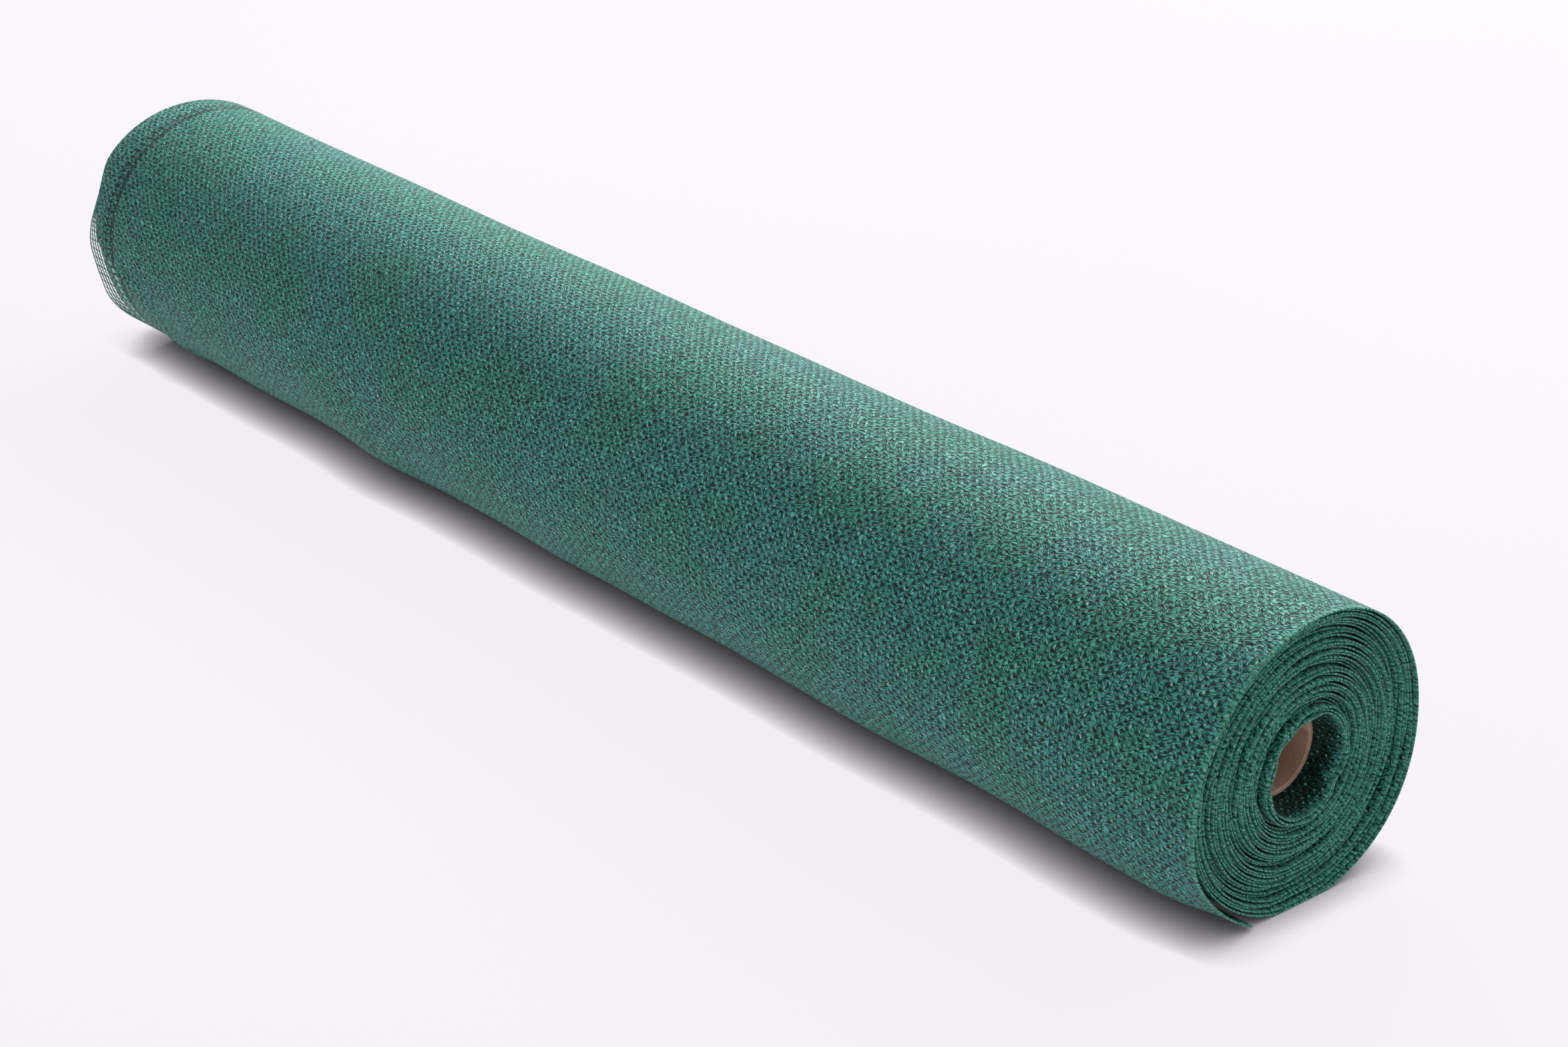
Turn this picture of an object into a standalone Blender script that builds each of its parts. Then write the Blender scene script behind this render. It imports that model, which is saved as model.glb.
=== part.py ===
"""A roll of knitted shade cloth on a cardboard core, lying on its side.

Metres, +Z up. The roll's axis runs along X, with the folded edge of the cloth
at the +X end and its two selvages at the -X end. The origin is on the floor,
under the middle of the whole. Angles go round the axis from +Y up to +Z, so 90
is the top, 180 the front, where the last turn comes loose, and 270 the floor.
"""

import math

import bmesh
import bpy

MM = 0.001

# The cloth is 1.84 m wide, folded once along its length and wound as a double ply
FOLDED_WIDTH = 920 * MM
DOUBLE_PLY = 1.5 * MM
SELVAGE_LIP = 10 * MM
FIT_GAP = 0.3 * MM

# The wound form, which has sagged onto a flat spot
ROLL_RADIUS = 75 * MM
AXIS_HEIGHT = 72 * MM
AXIS_Y = 0.4 * MM
SEAM_ANGLE = 180
SEAM_STEP = DOUBLE_PLY + FIT_GAP
LENGTH_STATIONS = 15
COLUMNS = 84
UNEVENNESS = 0.5 * MM

NEAR_X = (FOLDED_WIDTH + SELVAGE_LIP) / 2
FAR_X = NEAR_X - FOLDED_WIDTH

# The near face, where groups of turns were wound a little further in or out
# Columns: outer radius of the group, how far it lies behind the last turn's edge
TURN_GROUPS = (
    (73.2 * MM, 5.5 * MM),
    (67.0 * MM, 7.5 * MM),
    (61.0 * MM, 5.0 * MM),
    (51.0 * MM, 6.8 * MM),
    (47.0 * MM, 4.5 * MM),
    (33.0 * MM, 6.5 * MM),
    (28.5 * MM, 2.5 * MM),
)
HIDDEN_TURN_STEP = 4.5 * MM
FAR_FACE_RECESS = 3 * MM

# The mouth of the hole, where the first turns stand free in front of the core
# Columns: how far behind the last turn's edge, radius of the hole there
MOUTH_STATIONS = (
    (2.5 * MM, 24.6 * MM),
    (7.0 * MM, 24.4 * MM),
    (12.0 * MM, 23.6 * MM),
    (16.5 * MM, 22.6 * MM),
)
MOUTH_OVAL = 0.8 * MM
PLEAT_ANGLE = 322
PLEAT_HALF_WIDTH = 16
PLEAT_DEPTH = 4.6 * MM

# Where the winding is slacker than a plain cylinder
# Columns: angle, half width round the roll, height, distance from the near end
# at which it sets in, distance at which it is full
SLACK_PLACES = (
    (322, 48, 3.0 * MM, 90 * MM, 0 * MM),
    (60, 120, 1.4 * MM, 450 * MM, 60 * MM),
    (226, 40, -0.6 * MM, 2 * FOLDED_WIDTH, FOLDED_WIDTH),
)
FAR_SWELL = 1.0 * MM
FAR_SWELL_REACH = 70 * MM

# The core, a spirally wound cardboard tube, set back from the cloth's edge
CORE_BORE = 38 * MM
CORE_WALL = 3 * MM
CORE_SETBACK = 19 * MM
CORE_SIDES = 48
CORE_SHIFT_Y = 2.2 * MM
CORE_SHIFT_Z = -1.2 * MM
CORE_RADIUS = CORE_BORE / 2 + CORE_WALL

# The loose end, from where it leaves the roll to its cut end
# Columns: angle, gap under it at the near end, in the middle and at the far end
LOOSE_ROWS = (
    (180.3, 0.3 * MM, 0.3 * MM, 0.3 * MM),
    (187.0, 1.1 * MM, 0.7 * MM, 0.3 * MM),
    (194.0, 2.1 * MM, 1.3 * MM, 0.4 * MM),
    (201.0, 2.8 * MM, 2.0 * MM, 0.6 * MM),
    (208.0, 2.8 * MM, 2.6 * MM, 0.8 * MM),
    (215.0, 2.5 * MM, 3.1 * MM, 0.9 * MM),
    (222.0, 2.3 * MM, 3.4 * MM, 1.0 * MM),
    (229.0, 2.3 * MM, 3.5 * MM, 1.1 * MM),
    (235.0, 2.5 * MM, 3.4 * MM, 1.2 * MM),
    (240.5, 2.7 * MM, 3.2 * MM, 1.4 * MM),
    (245.5, 2.9 * MM, 3.0 * MM, 1.6 * MM),
)
LOOSE_STATIONS = 38
LOOSE_FLOOR_CLEARANCE = 1.5 * MM
SCALLOP_DEPTH = 0.6 * MM
SCALLOP_LENGTH = 95 * MM
DRAWN_IN_LENGTH = 35 * MM

# The swells of the loose end, which scallop its lower outline
# Columns: distance from the near end, half length, height
LOOSE_SWELLS = (
    (45 * MM, 100 * MM, 3.4 * MM),
    (240 * MM, 65 * MM, 1.8 * MM),
    (640 * MM, 55 * MM, 2.8 * MM),
)
SWELL_ANGLE = 224
SWELL_HALF_WIDTH = 36


def soft_step(start, end, value):
    """Rise smoothly from 0 at start to 1 at end."""
    share = min(max((value - start) / (end - start), 0), 1)
    return share * share * (3 - 2 * share)


def soft_hump(away, half_width):
    """Fall smoothly from 1 to 0 at a distance from the middle of a hump."""
    return math.cos(math.pi / 2 * min(abs(away) / half_width, 1)) ** 2


def soft_bump(angle, centre, half_width):
    """Rise smoothly to 1 at a centre angle and fall to 0 either side of it."""
    return soft_hump((angle - centre + 180) % 360 - 180, half_width)


def unevenness(x, angle):
    """Low, long swells in the wound cloth."""
    turned = math.radians(angle)
    long_swell = math.sin(2 * math.pi * x / 0.31 + 2 * turned)
    short_swell = math.sin(2 * math.pi * x / 0.17 - 3 * turned + 1.1)
    return UNEVENNESS * (0.6 * long_swell + 0.4 * short_swell)


def wound_radius(x, turn):
    """Outer radius of the roll, a spiral that grows by one double ply a turn."""
    angle = SEAM_ANGLE + 360 * turn
    radius = ROLL_RADIUS - SEAM_STEP * (1 - turn) + unevenness(x, angle)
    for centre, half_width, height, begins, full in SLACK_PLACES:
        here = soft_step(NEAR_X - begins, NEAR_X - full, x)
        radius += height * soft_bump(angle, centre, half_width) * here
    return radius + FAR_SWELL * soft_step(FAR_X + FAR_SWELL_REACH, FAR_X, x)


def around_axis(x, radius, angle, shift=0.0):
    """Point at a radius and angle round the axis, kept above the floor."""
    turned = math.radians(angle)
    y = AXIS_Y + radius * math.cos(turned) + shift * CORE_SHIFT_Y
    z = AXIS_HEIGHT + radius * math.sin(turned) + shift * CORE_SHIFT_Z
    return (x, y, max(z, 0))


def add_material(obj, name, colour, roughness):
    """Give an object its own Principled material."""
    material = bpy.data.materials.new(name)
    material.use_nodes = True
    shader = material.node_tree.nodes["Principled BSDF"]
    shader.inputs["Base Color"].default_value = (*colour, 1)
    shader.inputs["Roughness"].default_value = roughness
    shader.inputs["Metallic"].default_value = 0
    obj.data.materials.append(material)


def finish_object(mesh_data, name):
    """Turn a bmesh into a named object with smooth round faces."""
    bmesh.ops.recalc_face_normals(mesh_data, faces=mesh_data.faces)
    mesh = bpy.data.meshes.new(name)
    mesh_data.to_mesh(mesh)
    mesh_data.free()
    mesh.shade_smooth()
    mesh.set_sharp_from_angle(angle=math.radians(35))
    obj = bpy.data.objects.new(name, mesh)
    bpy.context.collection.objects.link(obj)
    return obj


def turned_ring(profile, sides):
    """Spin a closed profile of (x, radius) points round the X axis."""
    ring = bmesh.new()
    corners = [ring.verts.new((x, -radius, 0)) for x, radius in profile]
    edges = []
    for index, corner in enumerate(corners):
        following = corners[(index + 1) % len(corners)]
        edges.append(ring.edges.new((corner, following)))
    bmesh.ops.spin(
        ring,
        geom=corners + edges,
        cent=(0, 0, 0),
        axis=(1, 0, 0),
        angle=-2 * math.pi,
        steps=sides,
        use_merge=True,
    )
    return ring


def roll_profile():
    """Section of the wound cloth from the far edge round to the hole."""
    profile = []
    for station in range(LENGTH_STATIONS + 1):
        share = station / LENGTH_STATIONS
        profile.append((FAR_X + FOLDED_WIDTH * share, ROLL_RADIUS))
    profile.append((NEAR_X, TURN_GROUPS[0][0]))
    inner_limits = [row[0] for row in TURN_GROUPS[1:]] + [MOUTH_STATIONS[0][1]]
    for (outer, recess), inner in zip(TURN_GROUPS, inner_limits):
        profile.append((NEAR_X - recess, outer))
        profile.append((NEAR_X - recess, inner))
    for depth, radius in MOUTH_STATIONS[1:]:
        profile.append((NEAR_X - depth, radius))
    hole_radius = CORE_RADIUS + FIT_GAP
    profile.append((NEAR_X - CORE_SETBACK - CORE_WALL, hole_radius))
    profile.append((FAR_X + FOLDED_WIDTH / 2, hole_radius))
    profile.append((FAR_X + FAR_FACE_RECESS, hole_radius))
    profile.append((FAR_X + FAR_FACE_RECESS, TURN_GROUPS[0][0]))
    profile.append((FAR_X, TURN_GROUPS[0][0]))
    return profile


def mouth_shape(x, radius, angle):
    """Radius of the first turns, oval at the mouth and pleated at one side."""
    free = soft_step(NEAR_X - CORE_SETBACK + CORE_WALL, NEAR_X - 9 * MM, x)
    free *= 1 - soft_step(25 * MM, 33 * MM, radius)
    oval = MOUTH_OVAL * math.cos(2 * math.radians(angle - 70))
    pleat = PLEAT_DEPTH * soft_bump(angle, PLEAT_ANGLE, PLEAT_HALF_WIDTH)
    return radius + free * (oval - pleat)


def edge_shift(x, turn):
    """How far the last turn's edges wander along the axis."""
    shift = 0
    if x > NEAR_X - 40 * MM:
        shift -= HIDDEN_TURN_STEP * (1 - soft_step(0.08, 0.3, turn))
    if x < FAR_X + 1 * MM:
        shift -= 0.5 * SELVAGE_LIP * soft_step(0.93, 1, turn)
    return shift


def build_roll():
    """The wound cloth as one hollow body."""
    roll = turned_ring(roll_profile(), COLUMNS)
    for corner in roll.verts:
        x = corner.co.x
        radius = math.hypot(corner.co.y, corner.co.z)
        from_seam = math.degrees(math.atan2(-corner.co.z, -corner.co.y)) % 360
        column = round(from_seam / 360 * COLUMNS) % COLUMNS
        turn = column / (COLUMNS - 1) * 0.9992
        angle = SEAM_ANGLE + 360 * turn
        outward = soft_step(55 * MM, TURN_GROUPS[0][0], radius)
        spiral = outward * (wound_radius(x, turn) - ROLL_RADIUS)
        shaped = mouth_shape(x, radius, angle) + spiral
        if radius >= TURN_GROUPS[0][0]:
            x += edge_shift(x, turn)
        corner.co = around_axis(x, shaped, angle, 1 - outward)
    roll_object = finish_object(roll, "roll")
    add_material(roll_object, "knitted_cloth", (0.045, 0.19, 0.145), 0.55)


def build_core():
    """The cardboard tube inside the first turn."""
    near = NEAR_X - CORE_SETBACK
    bore = CORE_BORE / 2
    profile = ((FAR_X, CORE_RADIUS), (near, CORE_RADIUS), (near, bore), (FAR_X, bore))
    core = turned_ring(profile, CORE_SIDES)
    centre = (0, AXIS_Y + CORE_SHIFT_Y, AXIS_HEIGHT + CORE_SHIFT_Z)
    bmesh.ops.translate(core, verts=core.verts, vec=centre)
    core_object = finish_object(core, "core")
    add_material(core_object, "cardboard", (0.32, 0.2, 0.13), 0.85)


def loose_gap(row, x):
    """Gap under the loose end at one row, eased along the length of the roll."""
    angle, near_gap, middle_gap, far_gap = row
    from_near = NEAR_X - x
    far_share = soft_step(0.5 * FOLDED_WIDTH, FOLDED_WIDTH, from_near)
    gap = middle_gap + (far_gap - middle_gap) * far_share
    for middle, half_length, height in LOOSE_SWELLS:
        swell = height * soft_hump(from_near - middle, half_length)
        gap += swell * soft_bump(angle, SWELL_ANGLE, SWELL_HALF_WIDTH)
    slack = soft_step(SEAM_ANGLE + 5, LOOSE_ROWS[-1][0], angle)
    wave = math.sin(2 * math.pi * x / SCALLOP_LENGTH + 0.04 * angle)
    gap += SCALLOP_DEPTH * slack * (0.5 + 0.5 * wave)
    return near_gap + (gap - near_gap) * soft_step(0, DRAWN_IN_LENGTH, from_near)


def loose_far_edge(angle):
    """X of the far edge, where the inner ply's selvage hangs out past the roll."""
    out = soft_step(172, 200, angle) - 0.8 * soft_step(222, 246, angle)
    return FAR_X - SELVAGE_LIP * out


def build_loose_end():
    """The last stretch of cloth, which hangs clear of the roll."""
    cloth = bmesh.new()
    sections = []
    for station in range(LOOSE_STATIONS + 1):
        share = station / LOOSE_STATIONS
        outer_line = []
        inner_line = []
        for row in LOOSE_ROWS:
            angle = row[0]
            far_edge = loose_far_edge(angle)
            x = NEAR_X + (far_edge - NEAR_X) * share
            under = wound_radius(x, (angle - SEAM_ANGLE) / 360) + loose_gap(row, x)
            outer = around_axis(x, under + DOUBLE_PLY, angle)
            inner = around_axis(x, under, angle)
            lift = max(LOOSE_FLOOR_CLEARANCE - outer[2], 0)
            outer_line.append(cloth.verts.new((x, outer[1], outer[2] + lift)))
            inner_line.append(cloth.verts.new((x, inner[1], inner[2] + lift)))
        sections.append(outer_line + inner_line[::-1])
    for section, following in zip(sections, sections[1:]):
        for index in range(len(section)):
            beside = (index + 1) % len(section)
            cloth.faces.new(
                (section[index], section[beside], following[beside], following[index])
            )
    rows = len(LOOSE_ROWS)
    for section in (sections[0], sections[-1]):
        for index in range(rows - 1):
            opposite = 2 * rows - 1 - index
            cloth.faces.new(
                (section[index], section[index + 1], section[opposite - 1], section[opposite])
            )
    loose_object = finish_object(cloth, "loose_end")
    add_material(loose_object, "knitted_cloth_end", (0.045, 0.19, 0.145), 0.55)


def clear_scene():
    """Start from an empty scene."""
    for obj in list(bpy.data.objects):
        bpy.data.objects.remove(obj, do_unlink=True)


clear_scene()
build_roll()
build_core()
build_loose_end()
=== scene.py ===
"""A roll of knitted shade cloth on a cardboard core, lying on a pale studio floor.

Metres, +Z up, in the part's own frame. The roll's axis runs along X, with the
fold of the cloth at the +X end and its selvages at the -X end. The cloth is one
real sheet, folded once along its length and wound up. A place on it is given by
how far it is wound back from the seam where the last turn comes loose, in
degrees, and by how far it lies from the fold.
"""

import math

import bmesh
import bpy
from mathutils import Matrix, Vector


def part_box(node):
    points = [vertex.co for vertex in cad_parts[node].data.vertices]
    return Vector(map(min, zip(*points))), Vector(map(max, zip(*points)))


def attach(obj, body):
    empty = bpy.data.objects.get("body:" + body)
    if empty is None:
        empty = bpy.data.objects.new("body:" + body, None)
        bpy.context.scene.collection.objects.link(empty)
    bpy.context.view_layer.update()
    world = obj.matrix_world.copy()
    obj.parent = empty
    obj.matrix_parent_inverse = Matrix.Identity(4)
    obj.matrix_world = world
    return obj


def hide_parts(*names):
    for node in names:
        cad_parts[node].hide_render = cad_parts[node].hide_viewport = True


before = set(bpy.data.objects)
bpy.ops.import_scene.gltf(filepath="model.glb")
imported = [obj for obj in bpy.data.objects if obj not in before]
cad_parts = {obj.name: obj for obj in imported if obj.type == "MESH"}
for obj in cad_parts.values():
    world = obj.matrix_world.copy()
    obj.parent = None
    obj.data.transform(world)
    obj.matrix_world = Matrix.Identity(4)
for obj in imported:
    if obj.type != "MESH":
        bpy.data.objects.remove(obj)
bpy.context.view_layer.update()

MM = 0.001

# The cloth as it was cut, and the two plies of it that are wound together
CLOTH_WIDTH = 1.84
FOLDED_WIDTH = CLOTH_WIDTH / 2
TAPE_THICKNESS = 0.4 * MM
PLY_SPACING = 0.55 * MM
FOLD_RADIUS = PLY_SPACING / 2
FOLD_ARC = FOLD_RADIUS * math.pi / 2
LOOSE_PLIES = 1.5 * MM

# The roll, as its solids have it
NEAR_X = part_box("roll")[1][0]
FAR_X = NEAR_X - FOLDED_WIDTH
ROLL_RADIUS = 75 * MM
AXIS_Y = 0.4 * MM
AXIS_HEIGHT = 72 * MM
SEAM_ANGLE = 180
CUT_ANGLE = 245.5
LAST_TURN_STEP = 1.8 * MM
TURN_STEP = 1.53 * MM
TURN_WOBBLE = 0.26 * MM
UNEVENNESS = 0.5 * MM
FAR_SWELL = 1.0 * MM
FAR_SWELL_REACH = 70 * MM
LONG_SWELL = 310 * MM
SHORT_SWELL = 170 * MM

# The hole, which opens a little in front of the core
CORE_LOW, CORE_HIGH = [Vector(corner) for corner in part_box("core")]
CORE_CENTRE = (CORE_LOW + CORE_HIGH) / 2
CORE_RADIUS = (CORE_HIGH.y - CORE_LOW.y) / 2
CORE_WALL = 3 * MM
MOUTH_RADIUS = 24.6 * MM
MOUTH_DEPTH = 21 * MM
MOUTH_OVAL = 0.8 * MM
PLEAT_ANGLE = 322
PLEAT_HALF_WIDTH = 16
PLEAT_DEPTH = 4.6 * MM
HOLE_GAP = 0.3 * MM

# Where the outer turns are slacker than a plain cylinder
# Columns: angle, half width round the roll, height, distance from the near end
# at which it sets in, distance at which it is full
SLACK_PLACES = (
    (322, 48, 3.0 * MM, 90 * MM, 0 * MM),
    (60, 120, 1.4 * MM, 450 * MM, 60 * MM),
    (226, 40, -0.6 * MM, 2 * FOLDED_WIDTH, FOLDED_WIDTH),
)
SLACK_TURNS = 18

# Where the fold of each turn lies, which groups the turns on the near face
# Columns: turns in from the seam, distance behind the last turn's fold
FOLD_RECESS = (
    (0.70, 0.0 * MM),
    (0.92, 3.2 * MM),
    (1.1, 3.4 * MM),
    (1.45, 2.0 * MM),
    (1.8, 2.6 * MM),
    (2.4, 3.6 * MM),
    (4.7, 4.2 * MM),
    (5.3, 6.4 * MM),
    (8.7, 6.6 * MM),
    (9.3, 5.0 * MM),
    (15.1, 5.0 * MM),
    (15.8, 6.8 * MM),
    (17.8, 6.8 * MM),
    (18.5, 4.5 * MM),
    (26.9, 4.5 * MM),
    (27.6, 6.5 * MM),
    (29.3, 6.5 * MM),
    (29.8, 2.5 * MM),
    (33.0, 2.5 * MM),
)
FOLD_WANDER = 0.8 * MM

# The two selvages at the far end of the last turn, the outer one drawn in
# Columns: angle, how far the outer ply's edge and the inner ply's edge lie
# inside the roll's far end
SELVAGES = (
    (20, 2.0 * MM, 3.0 * MM),
    (80, 1.9 * MM, 3.0 * MM),
    (137, -3.2 * MM, 0.0 * MM),
    (150, 1.5 * MM, 2.5 * MM),
    (160, 4.0 * MM, 4.5 * MM),
    (170, 7.0 * MM, 7.5 * MM),
    (180, 11.0 * MM, 10.0 * MM),
    (186, 24.0 * MM, 12.0 * MM),
    (192, 43.0 * MM, 13.0 * MM),
    (200, 51.0 * MM, 14.0 * MM),
    (210, 54.0 * MM, 13.0 * MM),
    (225, 60.0 * MM, 12.0 * MM),
    (246, 66.0 * MM, 12.0 * MM),
)
# The loose outer edge curls up off the inner ply, which has slipped inwards
CURLED_EDGE = 1.8 * MM
CURLED_WIDTH = 12 * MM
INNER_SLIP = 5 * MM

# How far the turns below are drawn in there, so that light shows through
# Columns: angle, distance
HOLLOW = (
    (136, 0.0 * MM),
    (160, 3.5 * MM),
    (180, 9.0 * MM),
    (200, 13.0 * MM),
    (230, 12.5 * MM),
    (262, 0.0 * MM),
)
HOLLOW_TURNS = 11

# The loose end, from where it leaves the roll to its cut end
# Columns: angle, gap under it at the near end, in the middle and at the far end
LOOSE_ROWS = (
    (180, 0.3 * MM, 0.3 * MM, 0.3 * MM),
    (187, 1.1 * MM, 0.7 * MM, 0.3 * MM),
    (194, 2.1 * MM, 1.3 * MM, 0.4 * MM),
    (201, 2.8 * MM, 2.0 * MM, 0.6 * MM),
    (208, 2.8 * MM, 2.6 * MM, 0.8 * MM),
    (215, 2.5 * MM, 3.1 * MM, 0.9 * MM),
    (222, 2.3 * MM, 3.4 * MM, 1.0 * MM),
    (229, 2.3 * MM, 3.5 * MM, 1.1 * MM),
    (235, 2.5 * MM, 3.4 * MM, 1.2 * MM),
    (240.5, 2.7 * MM, 3.2 * MM, 1.4 * MM),
    (245.5, 2.9 * MM, 3.0 * MM, 1.6 * MM),
)
LOOSE_CLEARANCE = 1.5 * MM
SCALLOP_DEPTH = 0.6 * MM
SCALLOP_LENGTH = 95 * MM
DRAWN_IN_LENGTH = 35 * MM

# The swells of the loose end
# Columns: distance from the near end, half length, height
LOOSE_SWELLS = (
    (45 * MM, 100 * MM, 3.4 * MM),
    (240 * MM, 65 * MM, 1.8 * MM),
    (640 * MM, 55 * MM, 2.8 * MM),
)
SWELL_ANGLE = 224
SWELL_HALF_WIDTH = 36

# How finely the sheet is divided: columns round the roll, places across it
TURN_COLUMNS = 48
LOOSE_COLUMNS = 10
OUTER_PLACES = (920, 903, 700, 440, 240, 110, 40, 12, 3)
INNER_PLACES = (3, 12, 45, 240, 560, 903, 920)
FINE_SPACING = 16 * MM
MOUTH_SPACING = 4 * MM
MOUTH_TURNS = 3


def soft_step(start, end, value):
    """Rise smoothly from 0 at start to 1 at end."""
    share = min(max((value - start) / (end - start), 0), 1)
    return share * share * (3 - 2 * share)


def soft_hump(away, half_width):
    """Fall smoothly from 1 to 0 at a distance from the middle of a hump."""
    return math.cos(math.pi / 2 * min(abs(away) / half_width, 1)) ** 2


def soft_bump(angle, centre, half_width):
    """Rise smoothly to 1 at a centre angle and fall to 0 either side of it."""
    return soft_hump((angle - centre + 180) % 360 - 180, half_width)


def read_curve(rows, place, column):
    """Value of a smooth curve through one column of a table, at a place."""
    place = min(max(place, rows[0][0]), rows[-1][0])
    last = len(rows) - 1
    index = 0
    while index < last - 1 and rows[index + 1][0] < place:
        index += 1
    before = rows[max(index - 1, 0)]
    start = rows[index]
    end = rows[index + 1]
    after = rows[min(index + 2, last)]
    span = end[0] - start[0]
    share = (place - start[0]) / span
    slope_in = (end[column] - before[column]) / (end[0] - before[0]) * span
    slope_out = (after[column] - start[column]) / (after[0] - start[0]) * span
    cube = share ** 3
    square = share ** 2
    value = (2 * cube - 3 * square + 1) * start[column]
    value += (cube - 2 * square + share) * slope_in
    value += (3 * square - 2 * cube) * end[column]
    return value + (cube - square) * slope_out


# The winding

INNERMOST_RADIUS = MOUTH_RADIUS + PLY_SPACING + TAPE_THICKNESS
WHOLE_TURNS = 1 + (ROLL_RADIUS - LAST_TURN_STEP - INNERMOST_RADIUS) / TURN_STEP
INNER_END = 360 * math.floor(WHOLE_TURNS) + (SEAM_ANGLE - PLEAT_ANGLE) % 360
INNER_COLUMNS = round((INNER_END - 360) / 360 * TURN_COLUMNS)


def uneven_radius(x, back):
    """Low, long swells and slack places, which die out in the turns below."""
    angle = SEAM_ANGLE - back
    turned = math.radians(angle)
    turns = back / 360
    swell = 0.6 * math.sin(2 * math.pi * x / LONG_SWELL + 2 * turned)
    swell += 0.4 * math.sin(2 * math.pi * x / SHORT_SWELL - 3 * turned + 1.1)
    uneven = UNEVENNESS * swell * (1 - soft_step(1, 4, turns))
    slack = FAR_SWELL * soft_step(FAR_X + FAR_SWELL_REACH, FAR_X, x)
    for centre, half_width, height, begins, full in SLACK_PLACES:
        here = soft_step(NEAR_X - begins, NEAR_X - full, x)
        slack += height * soft_bump(angle, centre, half_width) * here
    return uneven + slack * (1 - soft_step(1, SLACK_TURNS, turns))


def wound_radius(x, back):
    """Outer radius of the double ply at a place wound back from the seam."""
    turns = back / 360
    radius = ROLL_RADIUS - LAST_TURN_STEP * min(turns, 1)
    radius -= TURN_STEP * max(turns - 1, 0)
    inner_share = soft_step(1, 3, turns)
    radius += TURN_WOBBLE * inner_share * math.sin(2 * math.pi * 0.37 * turns)
    radius += 0.3 * TURN_WOBBLE * inner_share * math.sin(2 * math.pi * 5.3 * turns)
    return radius + uneven_radius(x, back)


def shape_mouth(x, radius, angle):
    """Draw the first turns in to the core, and make the hole's mouth uneven."""
    depth = NEAR_X - x
    beside_core = 1 - soft_step(25 * MM, 33 * MM, radius)
    drawn_in = MOUTH_RADIUS - CORE_RADIUS - HOLE_GAP
    radius -= drawn_in * beside_core * soft_step(4 * MM, MOUTH_DEPTH, depth)
    free = 1 - soft_step(9 * MM, 16 * MM, depth)
    oval = MOUTH_OVAL * math.cos(2 * math.radians(angle - 70))
    pleat = PLEAT_DEPTH * soft_bump(angle, PLEAT_ANGLE, PLEAT_HALF_WIDTH)
    pleat *= 1 - soft_step(25.5 * MM, 30 * MM, radius)
    return radius + free * (oval * beside_core - pleat)


def flat_spot(back):
    """Height to which the roll's weight flattens a turn against the floor."""
    first = 270
    share = (back - first) / (INNER_END - first)
    lowest_inner = CORE_CENTRE.z - INNERMOST_RADIUS
    return lowest_inner * max(share, 0)


def wound_place(x, back, inward):
    """Point on the wound cloth, some way in from the double ply's outside."""
    angle = SEAM_ANGLE - back
    turned = math.radians(angle)
    radius = shape_mouth(x, wound_radius(x, back) - inward, angle)
    centred = soft_step(0, 0.6 * INNER_END, back)
    y = AXIS_Y + (CORE_CENTRE.y - AXIS_Y) * centred + radius * math.cos(turned)
    z = AXIS_HEIGHT + (CORE_CENTRE.z - AXIS_HEIGHT) * centred
    z += radius * math.sin(turned)
    return Vector((x, y, max(z, flat_spot(back) + inward)))


def loose_gap(x, angle):
    """Gap under the loose end, eased along the length of the roll."""
    near_gap, middle_gap, far_gap = [read_curve(LOOSE_ROWS, angle, n) for n in (1, 2, 3)]
    from_near = NEAR_X - x
    far_share = soft_step(0.5 * FOLDED_WIDTH, FOLDED_WIDTH, from_near)
    gap = middle_gap + (far_gap - middle_gap) * far_share
    for middle, half_length, height in LOOSE_SWELLS:
        swell = height * soft_hump(from_near - middle, half_length)
        gap += swell * soft_bump(angle, SWELL_ANGLE, SWELL_HALF_WIDTH)
    slack = soft_step(SEAM_ANGLE + 5, CUT_ANGLE, angle)
    wave = math.sin(2 * math.pi * x / SCALLOP_LENGTH + 0.04 * angle)
    gap += SCALLOP_DEPTH * slack * (0.5 + 0.5 * wave)
    return near_gap + (gap - near_gap) * soft_step(0, DRAWN_IN_LENGTH, from_near)


def loose_place(x, back, inward):
    """Point on the loose end, which hangs clear of the roll and the floor."""
    angle = SEAM_ANGLE - back
    turned = math.radians(angle)
    outside = wound_radius(x, 360 + back) + loose_gap(x, angle) + LOOSE_PLIES
    lift = max(LOOSE_CLEARANCE - AXIS_HEIGHT - outside * math.sin(turned), 0)
    y = AXIS_Y + (outside - inward) * math.cos(turned)
    z = AXIS_HEIGHT + (outside - inward) * math.sin(turned) + lift
    return Vector((x, y, z))


def cloth_place(x, back, inward):
    """Point on the cloth, wound or loose."""
    if back < 0:
        return loose_place(x, back, inward)
    return wound_place(x, back, inward)


def fold_line(back):
    """X of the fold at a place along the cloth."""
    turns = max(back, 0) / 360
    wander = math.sin(2 * math.pi * 1.37 * turns) + 0.6 * math.sin(2 * math.pi * 4.63 * turns)
    wander += 0.5 * math.sin(2 * math.pi * 9.21 * turns + 1)
    wander *= FOLD_WANDER * soft_step(0.9, 1.3, turns)
    return NEAR_X - read_curve(FOLD_RECESS, turns, 1) + wander


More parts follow.
